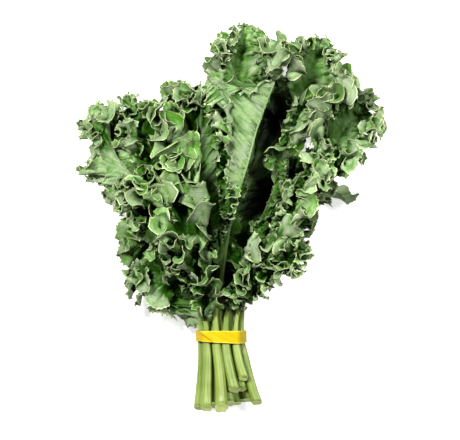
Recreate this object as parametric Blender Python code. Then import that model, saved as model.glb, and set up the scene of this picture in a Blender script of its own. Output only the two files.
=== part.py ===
"""A bunch of curly kale: sixteen leaves, each grown in one piece with its stalk, held by a rubber band.

The bunch lies on a table, +Z up, with its cut ends towards -Y and its leaf tips towards +Y. It is built round the
middle of the band, in millimetres, and then shifted so that the origin is at the middle of its footprint.

The stalks stand in the band in four rows. From the band each leaf heads off at its own angle and climbs to its own
level of a stack, so a leaf never passes through another: two leaves that cross when seen from above are on different
levels, and two on the same level lie side by side.
"""

import math
from collections import namedtuple

import bmesh
import bpy
from mathutils import Vector

MM = 0.001

# The band and the stalks that it holds.
STALK_PITCH = 10.0
ROW_PITCH = STALK_PITCH * math.sqrt(0.75)
STALK_RADIUS = 4.6
BAND_WIDTH = 12.0
BAND_THICKNESS = 1.2
BAND_GAP = 0.35
BAND_HEIGHT = 26.0  # of its middle, above the table
BAND_CORNER_STEPS = 6

# Below the band the stalks spread and thicken towards their cut ends.
FOOT_LENGTH = 70.0
FOOT_SPREAD = 0.46
FOOT_SWELL = 0.40
FOOT_LEAN = 8.0
CUT_SLANT = 0.30

# Above the band the leaves climb to the levels of the stack.
LEVEL_PITCH = 14.5
LEVEL_BASE = 6.5
CLIMB_START, CLIMB_RUN = 21.0, 95.0
DOME_START, DOME_RUN, DOME_DROP = 165.0, 170.0, 0.30
HEADING_RUN = 55.0

# The blade: a sheet with a thick rib, ruffled more and more towards its margins.
BLADE_THICKNESS = 2.2
RIB_TIP_RADIUS = 1.3
RUFFLE = 5.0
RUFFLE_LENGTH = 34.0
LOBE_DEPTH = 0.10
WIDEST, BLUNTNESS = 1.15, 0.62

STALK_STATIONS = 5
BLADE_STATIONS = 22
# Points across a section: where each is on the blade, and its angle where the section is a round stalk.
ACROSS = (-1.0, -0.55, -0.13, 0.13, 0.55, 1.0)
ROUND = (165.0, 135.0, 105.0, 75.0, 45.0, 15.0)

# row, column: the stalk's place in the band, counted from the table up and from the left.
# level: its place in the stack. aim, turn: degrees to the right that it heads, and that it turns by on the way.
# reach: from the band to the tip. start: the share of that with no blade. left, right: the blade's half widths.
# foot: from the band to the cut end.
Leaf = namedtuple("Leaf", "name row column level aim turn reach start left right foot")
LEAVES = (
    Leaf("leaf_back_left", 0, 0, 0, -37, -14, 156, 0.28, 40, 42, 70),
    Leaf("leaf_back_top", 0, 1, 1, 9, 6, 300, 0.30, 50, 50, 72),
    Leaf("leaf_back_right", 0, 2, 0, 27, 6, 226, 0.30, 46, 38, 68),
    Leaf("leaf_inner_low_left", 1, 0, 2, -68, -8, 112, 0.30, 26, 36, 72),
    Leaf("leaf_inner_left", 1, 1, 3, -25, -14, 264, 0.34, 38, 46, 26),
    Leaf("leaf_inner_top", 1, 2, 2, -7, -10, 266, 0.32, 44, 46, 70),
    Leaf("leaf_inner_right", 1, 3, 3, 37, -6, 178, 0.34, 44, 24, 66),
    Leaf("leaf_middle_left", 2, 0, 5, -29, -8, 183, 0.32, 36, 40, 73),
    Leaf("leaf_middle_upper_left", 2, 1, 4, -15, -14, 262, 0.32, 40, 44, 70),
    Leaf("leaf_middle_top", 2, 2, 5, -2, 14, 318, 0.40, 48, 48, 68),
    Leaf("leaf_middle_upper_right", 2, 3, 4, 22, -6, 318, 0.38, 44, 46, 54),
    Leaf("leaf_middle_right", 2, 4, 5, 25, 13, 284, 0.42, 42, 38, 68),
    Leaf("leaf_front_left", 3, 0, 6, -12, -6, 196, 0.30, 44, 40, 72),
    Leaf("leaf_front_centre", 3, 1, 7, 6, 16, 264, 0.30, 46, 14, 72),
    Leaf("leaf_front_right", 3, 2, 6, 29, 10, 228, 0.36, 30, 42, 54),
    Leaf("leaf_front_low_right", 3, 3, 7, 55, -10, 126, 0.36, 28, 30, 42),
)
ROWS = (3, 4, 5, 4)


def smooth(x):
    """0 below 0, 1 above 1, and a smooth step between them."""
    x = min(max(x, 0.0), 1.0)
    return x * x * (3.0 - 2.0 * x)


def slot(leaf):
    """The stalk's place in the band, across and up from the band's middle."""
    return Vector(
        (
            (leaf.column - (ROWS[leaf.row] - 1) / 2) * STALK_PITCH,
            (leaf.row - (len(ROWS) - 1) / 2) * ROW_PITCH,
        )
    )


def dome(distance):
    """How much of its full depth the stack has at this distance from the band."""
    return 1.0 - DOME_DROP * smooth((distance - DOME_START) / DOME_RUN)


def stack_height(leaf, x, y):
    """The height of the leaf's level above the band's middle, at a place seen from above."""
    distance = math.hypot(x, y)
    climbed = smooth((distance - CLIMB_START) / CLIMB_RUN)
    level = LEVEL_BASE + leaf.level * LEVEL_PITCH * dome(distance) - BAND_HEIGHT
    return slot(leaf).y + (level - slot(leaf).y) * climbed


def spreading(along):
    """0 in the band and 1 at the full length of a foot."""
    return max(0.0, -along - BAND_WIDTH / 2) / (FOOT_LENGTH - BAND_WIDTH / 2)


def stalk_radius(leaf, along):
    """The radius of the stalk or rib, thickest at the cut end and thinnest at the tip."""
    if along < 0:
        return STALK_RADIUS * (1.0 + FOOT_SWELL * spreading(along))
    return STALK_RADIUS + (RIB_TIP_RADIUS - STALK_RADIUS) * (along / leaf.reach) ** 0.8


def heading(leaf, along):
    """The direction seen from above, in radians to the right of +Y."""
    free = max(along - BAND_WIDTH / 2, 0.0)
    return math.radians(leaf.aim * smooth(free / HEADING_RUN) + leaf.turn * free / leaf.reach)


def midline(leaf, along):
    """The middle of the leaf seen from above, at a distance along it from the band."""
    place = slot(leaf)
    if along <= 0:
        spread = spreading(along)
        return Vector((place.x * (1.0 + FOOT_SPREAD * spread) + FOOT_LEAN * spread, along))
    steps = max(1, round(along / 4.0))
    x, y = place.x, 0.0
    for k in range(steps):
        angle = heading(leaf, (k + 0.5) * along / steps)
        x += math.sin(angle) * along / steps
        y += math.cos(angle) * along / steps
    return Vector((x, y))


def half_width(leaf, share, side):
    """The blade's half width at a share of its length, with shallow lobes."""
    widest = leaf.left if side < 0 else leaf.right
    if not 0.0 < share < 1.0:
        return 0.0
    outline = math.sin(math.pi * share**WIDEST) ** BLUNTNESS
    lobe = 1.0 + LOBE_DEPTH * math.cos(ruffle_phase(leaf, share, side) * 0.5)
    return widest * outline * lobe / (1.0 + LOBE_DEPTH)


def ruffle_phase(leaf, share, side):
    blade_length = leaf.reach * (1.0 - leaf.start)
    return 2.0 * math.pi * share * blade_length / RUFFLE_LENGTH + side * 1.2 + leaf.level


def ruffle(leaf, share, across, distance):
    """How far the blade stands off its level."""
    side = math.copysign(1.0, across)
    wave = math.sin(ruffle_phase(leaf, share, side))
    fade = math.sin(math.pi * share) ** 0.5
    return RUFFLE * dome(distance) * abs(across) ** 1.3 * fade * wave


def section(leaf, along):
    """The twelve points round the leaf at one station: its upper side left to right, then its under side back."""
    share = (along / leaf.reach - leaf.start) / (1.0 - leaf.start)
    share = min(max(share, 0.0), 0.995)
    centre = midline(leaf, along)
    angle = heading(leaf, along)
    sideways = Vector((math.cos(angle), -math.sin(angle)))
    radius = stalk_radius(leaf, along)
    upper, under = [], []
    for across, degrees in zip(ACROSS, ROUND):
        side = math.copysign(1.0, across)
        round_offset = radius * math.cos(math.radians(degrees))
        round_height = radius * math.sin(math.radians(degrees))
        width = half_width(leaf, share, side)
        spread = smooth((width - radius) / (2.0 * radius))
        on_rib = abs(across) < 0.5
        blade_offset = side * 0.9 * radius if on_rib else across * width
        blade_height = 0.8 * radius if on_rib else BLADE_THICKNESS / 2
        offset = round_offset + (blade_offset - round_offset) * spread
        height = round_height + (blade_height - round_height) * spread
        place = centre + sideways * offset
        if along <= 0:
            level = slot(leaf).y * (1.0 + FOOT_SPREAD * spreading(along))
        else:
            level = stack_height(leaf, place.x, place.y)
            level += spread * ruffle(leaf, share, across, place.length)
        slant = CUT_SLANT * smooth(-along / leaf.foot) if along < 0 else 0.0
        upper.append(Vector((place.x, place.y - slant * height, level + height)))
        under.append(Vector((place.x, place.y + slant * height, level - height)))
    return upper + under[::-1]


def stations(leaf):
    """Distances along the leaf from the band: the foot, the bare stalk and then the blade."""
    blade_start = leaf.start * leaf.reach
    bare = [-leaf.foot, -leaf.foot / 2, -BAND_WIDTH / 2, BAND_WIDTH / 2]
    first = bare[-1]
    bare += [first + (blade_start - first) * k / STALK_STATIONS for k in range(1, STALK_STATIONS)]
    blade_length = leaf.reach - blade_start
    shares = [1.0 - (1.0 - k / BLADE_STATIONS) ** 1.3 for k in range(BLADE_STATIONS + 1)]
    return bare + [blade_start + blade_length * share for share in shares]


def leaf_points(leaf):
    return [section(leaf, along) for along in stations(leaf)]


def turn_between(first, second):
    """The direction square to the line from one slot to another, to its right."""
    return math.atan2(first.x - second.x, second.y - first.y)


def band_corners():
    """The slots at which the band bends, anticlockwise from the lowest."""
    slots = [slot(leaf) for leaf in LEAVES]
    corners = [min(slots, key=lambda place: (place.y, place.x))]
    while True:
        here = corners[-1]
        others = [place for place in slots if place != here]
        following = others[0]
        for place in others[1:]:
            across = (following - here).cross(place - here)
            further = (place - here).length > (following - here).length
            if across < -0.01 or (abs(across) <= 0.01 and further):
                following = place
        if following == corners[0]:
            return corners
        corners.append(following)


def band_points():
    """Sections round the band: straight between the outermost stalks and bent round each of them."""
    corners = band_corners()
    inner = STALK_RADIUS + BAND_GAP
    outer = inner + BAND_THICKNESS
    rings = []
    for k, place in enumerate(corners):
        begin = turn_between(corners[k - 1], place)
        bend = (turn_between(place, corners[(k + 1) % len(corners)]) - begin) % math.tau
        for step in range(BAND_CORNER_STEPS + 1):
            angle = begin + bend * step / BAND_CORNER_STEPS
            outward = Vector((math.cos(angle), math.sin(angle)))
            ring = []
            for radius, end in ((inner, -1), (outer, -1), (outer, 1), (inner, 1)):
                point = place + outward * radius
                ring.append(Vector((point.x, end * BAND_WIDTH / 2, point.y)))
            rings.append(ring)
    return rings


def loft(name, rings, origin, close_round):
    """A solid through rings of points, with flat ends or joined round into a hoop. origin is the object's place."""
    mesh = bpy.data.meshes.new(name)
    shape = bmesh.new()
    rows = [[shape.verts.new((point - origin) * MM) for point in ring] for ring in rings]
    pairs = list(zip(rows, rows[1:]))
    if close_round:
        pairs.append((rows[-1], rows[0]))
    else:
        shape.faces.new(rows[0])
        shape.faces.new(rows[-1])
    for ring, following in pairs:
        for k in range(len(ring)):
            beside = (k + 1) % len(ring)
            shape.faces.new((ring[k], ring[beside], following[beside], following[k]))
    bmesh.ops.recalc_face_normals(shape, faces=shape.faces)
    shape.to_mesh(mesh)
    shape.free()
    mesh.shade_smooth()
    mesh.set_sharp_from_angle(angle=math.radians(50))
    return bpy.data.objects.new(name, mesh)


def material(name, colour, roughness):
    """A Principled material: none of the bunch is metal."""
    made = bpy.data.materials.new(name)
    made.diffuse_color = (*colour, 1.0)
    made.use_nodes = True
    shader = made.node_tree.nodes["Principled BSDF"]
    shader.inputs["Base Color"].default_value = (*colour, 1.0)
    shader.inputs["Roughness"].default_value = roughness
    shader.inputs["Metallic"].default_value = 0.0
    return made


def clear_scene():
    for thing in list(bpy.data.objects):
        bpy.data.objects.remove(thing, do_unlink=True)


def main():
    clear_scene()
    rings = {leaf.name: leaf_points(leaf) for leaf in LEAVES}
    rings["rubber_band"] = band_points()
    points = [point for shape in rings.values() for ring in shape for point in ring]
    low = Vector(min(point[axis] for point in points) for axis in range(3))
    high = Vector(max(point[axis] for point in points) for axis in range(3))

    bunch = bpy.data.objects.new("kale_bunch", None)
    bpy.context.scene.collection.objects.link(bunch)
    footprint = Vector(((low.x + high.x) / 2, (low.y + high.y) / 2, low.z))

    origins = {leaf.name: Vector((slot(leaf).x, 0.0, slot(leaf).y)) for leaf in LEAVES}
    origins["rubber_band"] = Vector()
    for name, shape in rings.items():
        is_band = name == "rubber_band"
        piece = loft(name, shape, origins[name], close_round=is_band)
        bpy.context.scene.collection.objects.link(piece)
        piece.parent = bunch
        piece.location = (origins[name] - footprint) * MM
        if is_band:
            piece.data.materials.append(material("yellow_rubber", (0.93, 0.72, 0.03), 0.45))
        else:
            piece.data.materials.append(material(name, (0.09, 0.20, 0.06), 0.55))


main()
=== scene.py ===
# A bunch of curly kale, built round its CAD frame: sixteen leaves whose blades are grown in a small
# simulation, their ribbed stalks, and the yellow rubber band that ties them.
#
# Everything is worked out in millimetres from the middle of the band, with +Y towards the leaf tips and +Z
# up, and is moved to the band's place in the frame, in metres, when its mesh is made.

import math
from collections import namedtuple

import bpy
import numpy as np
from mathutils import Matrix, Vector


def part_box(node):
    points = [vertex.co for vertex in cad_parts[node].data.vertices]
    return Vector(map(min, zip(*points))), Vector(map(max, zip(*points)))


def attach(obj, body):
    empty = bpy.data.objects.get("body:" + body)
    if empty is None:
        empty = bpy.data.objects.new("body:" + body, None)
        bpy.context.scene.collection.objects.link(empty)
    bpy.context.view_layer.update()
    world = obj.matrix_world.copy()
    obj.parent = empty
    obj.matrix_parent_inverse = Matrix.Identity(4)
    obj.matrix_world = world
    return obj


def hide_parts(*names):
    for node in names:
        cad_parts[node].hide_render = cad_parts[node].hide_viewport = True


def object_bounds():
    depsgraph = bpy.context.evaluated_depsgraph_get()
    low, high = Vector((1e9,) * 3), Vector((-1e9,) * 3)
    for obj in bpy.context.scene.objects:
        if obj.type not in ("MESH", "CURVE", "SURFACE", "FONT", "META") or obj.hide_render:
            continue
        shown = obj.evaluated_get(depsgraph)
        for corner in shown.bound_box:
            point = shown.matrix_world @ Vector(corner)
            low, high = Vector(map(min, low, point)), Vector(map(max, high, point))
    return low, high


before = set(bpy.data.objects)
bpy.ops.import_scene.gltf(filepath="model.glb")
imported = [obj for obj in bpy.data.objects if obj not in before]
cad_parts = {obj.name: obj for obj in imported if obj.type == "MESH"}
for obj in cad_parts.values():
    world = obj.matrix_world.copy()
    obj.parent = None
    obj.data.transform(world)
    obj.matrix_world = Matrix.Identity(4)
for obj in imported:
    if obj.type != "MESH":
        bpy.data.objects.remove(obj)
cad_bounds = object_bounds()

MM = 0.001
FLOAT = np.float32

# The CAD frame's own layout.
STALK_PITCH = 10.0
ROW_PITCH = STALK_PITCH * math.sqrt(0.75)
ROWS = (3, 4, 5, 4)
STALK_RADIUS = 4.6
BAND_WIDTH = 12.0
BAND_REACH = 28.0  # to each side
FOOT_LENGTH = 70.0
FOOT_SPREAD = 0.46
FOOT_SWELL = 0.40
FOOT_LEAN = 8.0
LEVEL_PITCH = 14.5
LEVEL_BASE = 6.5
CLIMB_START, CLIMB_RUN = 21.0, 95.0
DOME_START, DOME_RUN, DOME_DROP = 165.0, 170.0, 0.30
HEADING_RUN = 55.0

band_low, band_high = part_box("rubber_band")
TIE = (band_low + band_high) / 2 / MM
FLOOR = -TIE.z

# A leaf's place in the band and its way from there. row, column: counted from the floor and from the left.
# level: its height in the stack. aim, turn: degrees to the right that it heads, and that it turns by then.
# reach, foot: from the band to the tip and to the cut end. All as in the CAD, apart from two reaches.
# left, right: the blade's half widths, as seen from above.
#
# The blade. start: the share of the reach where it begins. late: how far towards the tip it is widest, from
# about 1 to 4. wing: the share of its width that it has from the start on at least.
# growth: how many times its first length the margin gains. power: how close to the margin that keeps.
# frill: how much more the outermost edge gains, as a share of growth.
# lobe: the midrib's length for each lobe. cut: how deep the lobes are cut.
# cup: how far the sides are rolled up.
# face: 1 where the upper side looks up and -1 where the under side does. tone: lighter than the others, or
# darker below 0.
Leaf = namedtuple(
    "Leaf",
    "name row column level aim turn reach foot left right"
    " start late wing growth power frill lobe cut cup face tone",
)
LEAVES = tuple(
    Leaf(name, *way, *habit)
    for name, way, habit in (
        ("leaf_back_left", (0, 0, 0, -37, -14, 156, 70, 48, 46),
         (0.12, 1.2, 0.2, 1.6, 3.5, 0.5, 11, 0.30, 0.0, 1, -0.3)),
        ("leaf_back_top", (0, 1, 1, 9, 6, 300, 72, 44, 66),
         (0.12, 1.5, 0.2, 1.4, 4.0, 0.5, 12, 0.25, 0.0, 1, -0.3)),
        ("leaf_back_right", (0, 2, 0, 27, 6, 210, 68, 62, 24),
         (0.12, 1.2, 0.2, 1.4, 4.0, 0.5, 11, 0.25, 0.0, 1, -0.3)),
        ("leaf_inner_low_left", (1, 0, 2, -68, -8, 112, 72, 44, 46),
         (0.05, 0.8, 0.6, 1.4, 3.0, 0.8, 13, 0.50, 0.0, 1, 1.6)),
        ("leaf_inner_left", (1, 1, 3, -25, -14, 272, 26, 52, 40),
         (0.25, 1.8, 0.1, 1.4, 4.0, 1.6, 14, 0.35, 0.1, 1, 0.5)),
        ("leaf_inner_top", (1, 2, 2, -7, -10, 266, 70, 38, 50),
         (0.20, 1.5, 0.2, 4.0, 2.6, 0.5, 12, 0.30, 0.3, 1, 0.0)),
        ("leaf_inner_right", (1, 3, 3, 37, -6, 178, 66, 50, 24),
         (0.16, 1.3, 0.2, 4.0, 2.6, 0.5, 10, 0.30, 0.3, 1, -0.1)),
        ("leaf_middle_left", (2, 0, 5, -29, -8, 183, 73, 30, 40),
         (0.22, 1.4, 0.2, 5.5, 2.2, 0.6, 9, 0.35, 0.9, 1, 0.0)),
        ("leaf_middle_upper_left", (2, 1, 4, -15, -14, 262, 70, 34, 46),
         (0.2, 1.7, 0.2, 5.5, 2.2, 0.6, 10, 0.35, 0.8, 1, -0.4)),
        ("leaf_middle_top", (2, 2, 5, -2, 14, 318, 68, 36, 54),
         (0.3, 2.2, 0.1, 5.5, 2.1, 0.6, 10, 0.35, 0.68, 1, 0.1)),
        ("leaf_middle_upper_right", (2, 3, 4, 22, -6, 318, 54, 48, 48),
         (0.3, 1.9, 0.2, 5.5, 2.1, 0.6, 10, 0.35, 0.72, 1, 0)),
        ("leaf_middle_right", (2, 4, 5, 25, 13, 284, 68, 54, 38),
         (0.3, 1.9, 0.1, 5.5, 2.1, 0.6, 10, 0.35, 0.74, 1, 0.1)),
        ("leaf_front_left", (3, 0, 6, -12, -6, 196, 72, 38, 56),
         (0.07, 1.4, 0.4, 5.5, 2.2, 0.6, 10, 0.35, 0.8, 1, -0.9)),
        ("leaf_front_centre", (3, 1, 7, 6, 16, 264, 72, 68, 3),
         (0.26, 4.5, 0.2, 2.4, 2.7, 0.8, 14, 0.35, -0.1, -1, 0.0)),
        ("leaf_front_right", (3, 2, 6, 29, 10, 228, 54, 48, 38),
         (0.12, 1.3, 0.4, 5.5, 2.0, 0.6, 10, 0.35, 0.9, 1, 0.1)),
        ("leaf_front_low_right", (3, 3, 7, 55, -10, 126, 42, 28, 22),
         (0.2, 1.3, 0.3, 6.0, 1.8, 0.8, 6, 0.35, 0.8, 1, 0.6)),
    )
)

# The leaf that lies over the others, and how far it dips under its neighbours near the band.
OVER = "leaf_front_centre"
INDEX_OVER = [leaf.name for leaf in LEAVES].index(OVER)
DIP, DIP_END, DIP_RUN = 30.0, 112.0, 50.0

# Where the bunch is open down to its lowest leaves: the middle, half sizes and direction of each opening.
Opening = namedtuple("Opening", "x y half_width half_length aim")
OPENINGS = (
    Opening(50, 217, 11.0, 31, 22),
    Opening(36, 140, 12.0, 23, 32),
    Opening(70, 170, 3.5, 18, 4),
    Opening(-26, 166, 5.0, 13, 60),
    Opening(35, 88, 5.0, 12, 20),
)
OPEN_HEIGHT = 26.0  # above the floor
LOWEST_OPEN_LEVEL = 3  # the leaves below this level cross the openings

# The growing.
SEED = 27
COLUMNS, SIDE_ROWS = 321, 10  # of the coarse sheet; the fine one has about twice as many
ROW_CROWDING = 0.75  # below 1 the rows are closer together towards the margin
COARSE_STEPS, FINE_STEPS = 320, 100
EXCESS = 1.3  # how much wider a blade is than it looks from above
SQUEEZE = 0.85  # how much narrower it starts off
SLANT = 0.5  # how far its side veins lean towards the tip
WIDEN = 0.2  # how much wider the rows grow at the margin
SHEAR = 0.25  # the strength of the slanting pulls
RIPPLE = 4.0  # the height of the first waves, which the growing margins turn into curls
KEEP_SPEED = 0.92  # the share of its speed that a point keeps from step to step
COARSE_STIFFNESS, SOFTENING, FINE_STIFFNESS = 0.10, 0.85, 0.03  # against bending; it softens with growth
LOW_ROOM, HIGH_ROOM = (15.0, 9.0, 0.0), (9.0, 7.0, 10.5)  # how far the curls may stand out of the CAD box
ROLL = 2.3  # how many radians a blade with a cup of 1 is turned up, at its margin
SINK = 0.88  # the midribs lie lower than the leaves' levels, by this factor
COARSE_ROOM, FINE_ROOM = 3.6, 2.6  # the space that sheets keep between them


def smooth(x):
    """0 below 0, 1 above 1, and a smooth step between them."""
    x = np.clip(x, 0.0, 1.0)
    return x * x * (3.0 - 2.0 * x)


def running(steps):
    """0 and then the sum so far after each step."""
    return np.concatenate([[0.0], np.cumsum(steps)])


def unit(vectors):
    """Vectors along the first axis, brought to length 1."""
    return vectors / (np.linalg.norm(vectors, axis=0) + 1e-9)


# ---------------------------------------------------------------- where the leaves go


def slot(leaf):
    """The stalk's place in the band, across and up."""
    across = (leaf.column - (ROWS[leaf.row] - 1) / 2) * STALK_PITCH
    return across, (leaf.row - (len(ROWS) - 1) / 2) * ROW_PITCH


def stack_height(leaf, x, y):
    """The height of the leaf's level at a place seen from above."""
    distance = np.hypot(x, y)
    dome = 1.0 - DOME_DROP * smooth((distance - DOME_START) / DOME_RUN)
    level = LEVEL_BASE + leaf.level * LEVEL_PITCH * SINK * dome + FLOOR
    start = slot(leaf)[1]
    height = start + (level - start) * smooth((distance - CLIMB_START) / CLIMB_RUN)
    if leaf.name == OVER:
        climb = smooth((distance - CLIMB_START) / CLIMB_RUN)
        height = height - DIP * climb * (1.0 - smooth((distance - DIP_END) / DIP_RUN))
    return height


def spreading(along):
    """0 in the band and 1 at the full length of a foot."""
    return np.clip(-along - BAND_WIDTH / 2, 0.0, None) / (FOOT_LENGTH - BAND_WIDTH / 2)


def heading(leaf, along):
    """The direction seen from above, in radians to the right of +Y."""
    free = np.clip(along - BAND_WIDTH / 2, 0.0, None)
    return np.radians(leaf.aim * smooth(free / HEADING_RUN) + leaf.turn * free / leaf.reach)


def midline(leaf, along):
    """Places of the middle of the leaf at distances along it from the band: x, y and z."""
    walk = np.linspace(0.0, leaf.reach, 400)
    step = walk[1]
    turned = heading(leaf, (walk[1:] + walk[:-1]) / 2)
    walk_x = slot(leaf)[0] + running(np.sin(turned) * step)
    walk_y = running(np.cos(turned) * step)
    spread = spreading(along)
    in_foot = along < 0
    x = np.where(
        in_foot,
        slot(leaf)[0] * (1.0 + FOOT_SPREAD * spread) + FOOT_LEAN * spread,
        np.interp(along, walk, walk_x),
    )
    y = np.where(in_foot, along, np.interp(along, walk, walk_y))
    z = np.where(in_foot, slot(leaf)[1] * (1.0 + FOOT_SPREAD * spread), stack_height(leaf, x, y))
    return x, y, z


def stalk_radius(leaf, along):
    thin = STALK_RADIUS - (STALK_RADIUS - 0.6) * np.clip(along / leaf.reach, 0.0, 1.0) ** 0.36
    return np.where(along < 0, STALK_RADIUS * (1.0 + FOOT_SWELL * spreading(along)), thin)


# ---------------------------------------------------------------- the sheets that grow into blades


def draw_habit(leaf, rng):
    """What is random about each side of a leaf: tables along its length, read by interpolation."""
    sides = []
    for _ in range(2):
        side = {"period": leaf.lobe * rng.uniform(0.85, 1.15), "phase": rng.uniform(0.0, math.pi)}
        side["wander"] = rng.uniform(-0.5, 0.5, 12)
        side["size"] = rng.uniform(-1.0, 1.0, 14)
        side["wave"] = rng.uniform(18.0, 26.0)
        side["wave_phase"] = rng.uniform(0.0, math.tau)
        side["wave_wander"] = rng.uniform(-1.6, 1.6, 10)
        sides.append(side)
    return sides


def table(values, share):
    return np.interp(share, np.linspace(0.0, 1.0, len(values)), values)


def across_rows(side_rows):
    """Where the rows lie, from -1 at the left margin to 1 at the right one."""
    half = np.linspace(0.0, 1.0, side_rows + 1) ** ROW_CROWDING
    return np.concatenate([-half[::-1], half[1:]])


def width(leaf, along):
    """The blade's width at distances along it, as a share of its half widths: narrow at first, then wide."""
    share = np.clip((along / leaf.reach - leaf.start) / (1.0 - leaf.start), 0.0, 1.0)
    blade = np.maximum(np.sin(math.pi * share**leaf.late), 0.0) ** 0.62
    wing = leaf.wing * smooth(share / 0.06 + 0.2) * smooth((leaf.reach - along) / 8.0)
    return np.maximum(blade, wing)


def cross_section(cup, side_rows):
    """The blade's section from margin to margin: flat near the midrib, and turned up towards the margins."""
    out = across_rows(side_rows)[side_rows:]
    middle = (out[1:] + out[:-1]) / 2
    turned = ROLL * cup * smooth((middle - 0.25) / 0.6)
    steps = np.diff(out)
    sideways = running(np.cos(turned) * steps)
    rise = running(np.sin(turned) * steps)
    sideways = np.concatenate([-sideways[:0:-1], sideways])
    rise = np.concatenate([rise[:0:-1], rise])
    return sideways[:, None], rise[:, None]


def across_opening(opening, x, y):
    aim = math.radians(opening.aim)
    return (x - opening.x) * math.cos(aim) - (y - opening.y) * math.sin(aim)


def depth_in(opening, x, y):
    """How far in an opening a place is: 0 in its middle and 1 on its edge."""
    aim = math.radians(opening.aim)
    across = across_opening(opening, x, y)
    along = (x - opening.x) * math.sin(aim) + (y - opening.y) * math.cos(aim)
    return np.hypot(across / opening.half_width, along / opening.half_length)


def clear_share(leaf, x, y, turned, half):
    """The share of a half width that stops short of the openings, for a leaf that isn't below them."""
    share = np.ones(x.shape)
    if leaf.level < LOWEST_OPEN_LEVEL or leaf.name == OVER:
        return share
    for part in np.linspace(1.0, 0.1, 30):
        place_x = x + np.cos(turned) * half * part
        place_y = y - np.sin(turned) * half * part + SLANT * np.abs(half) * part
        for opening in OPENINGS:
            share = np.where(depth_in(opening, place_x, place_y) < 1.1, part, share)
    for _ in range(12):
        share = np.minimum(share, 0.5 * (np.roll(share, 1) + np.roll(share, -1)) + 0.004)
    return share


def lobes_and_waves(leaf, habit, along, share, across):
    """The lobes, as a factor of the width, and the phase of the first waves."""
    lobes, waves = [], []
    for side in habit:
        turn = math.pi * along / side["period"] + side["phase"] + table(side["wander"], share)
        lobe = 1.0 - leaf.cut * (1.0 - np.abs(np.sin(turn)) ** 0.6)
        lobes.append(lobe * (1.0 + 0.18 * table(side["size"], share)))
        waves.append(side["wave_phase"] + table(side["wave_wander"], share))
    out = np.abs(across)
    tip_fade = smooth((1.0 - share) / 0.06)
    lobe = 1.0 + (np.where(across < 0, lobes[0], lobes[1]) - 1.0) * out**1.5 * tip_fade
    return lobe, np.where(across < 0, waves[0], waves[1])


def lay_out(leaf, habit, columns, side_rows):
    """The leaf's flat pattern, where its points start off, and the room that they have to each side."""
    across = across_rows(side_rows)[:, None]
    out = np.abs(across)
    part = np.linspace(0.0, 1.0, columns)
    share = 0.15 * part + 0.85 * (1.0 - (1.0 - part) ** 1.25)
    base = leaf.start * leaf.reach
    along = base + (leaf.reach - base) * share
    outline = np.maximum(width(leaf, along), 0.05)
    lobe, wave = lobes_and_waves(leaf, habit, along, share, across)
    x, y, _ = midline(leaf, along)
    turned = heading(leaf, along)
    clear_left = clear_share(leaf, x, y, turned, -leaf.left * outline)
    clear_right = clear_share(leaf, x, y, turned, leaf.right * outline)
    widest = np.where(across < 0, leaf.left * clear_left, leaf.right * clear_right)
    half = widest * outline
    material_half = half * EXCESS * lobe
    slant = SLANT * (1.0 - smooth((share - 0.6) / 0.4))
    forwards = slant * half * out**1.2
    flat = np.stack([material_half * across, along + slant * material_half * out**1.2])

    sideways, rise = cross_section(leaf.cup, side_rows)
    sideways, rise = (SQUEEZE * material_half * part for part in (sideways, rise))
    place_x = x + np.cos(turned) * sideways + np.sin(turned) * forwards
    place_y = y - np.sin(turned) * sideways + np.cos(turned) * forwards
    wavelength = np.where(across < 0, habit[0]["wave"], habit[1]["wave"])
    ripple = np.sin(math.tau * (along + 0.35 * material_half * out) / wavelength + wave)
    place_z = stack_height(leaf, place_x, place_y) + RIPPLE * ripple * out**1.3
    place_z += rise
    side = np.stack([np.cos(turned) + 0 * across, -np.sin(turned) + 0 * across])
    room = np.maximum(widest * width(leaf, np.minimum(along + forwards, leaf.reach)) + 1.0, 2.0)
    return flat, np.stack([place_x, place_y, place_z]), side, np.stack([x, y]), room


def lay_out_all(habits, columns, side_rows):
    """The flat patterns, and for the sheets their places, sideways directions, midlines and rooms."""
    laid = [lay_out(leaf, habit, columns, side_rows) for leaf, habit in zip(LEAVES, habits)]
    flat = np.stack([leaf[0] for leaf in laid], axis=1)
    places, sides = (np.stack([leaf[k] for leaf in laid], axis=1).astype(FLOAT) for k in (1, 2))
    middles = np.stack([leaf[3] for leaf in laid], axis=1).astype(FLOAT)[:, :, None]
    rooms = np.stack([leaf[4] for leaf in laid]).astype(FLOAT)
    return flat, places, sides, middles, rooms


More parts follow.
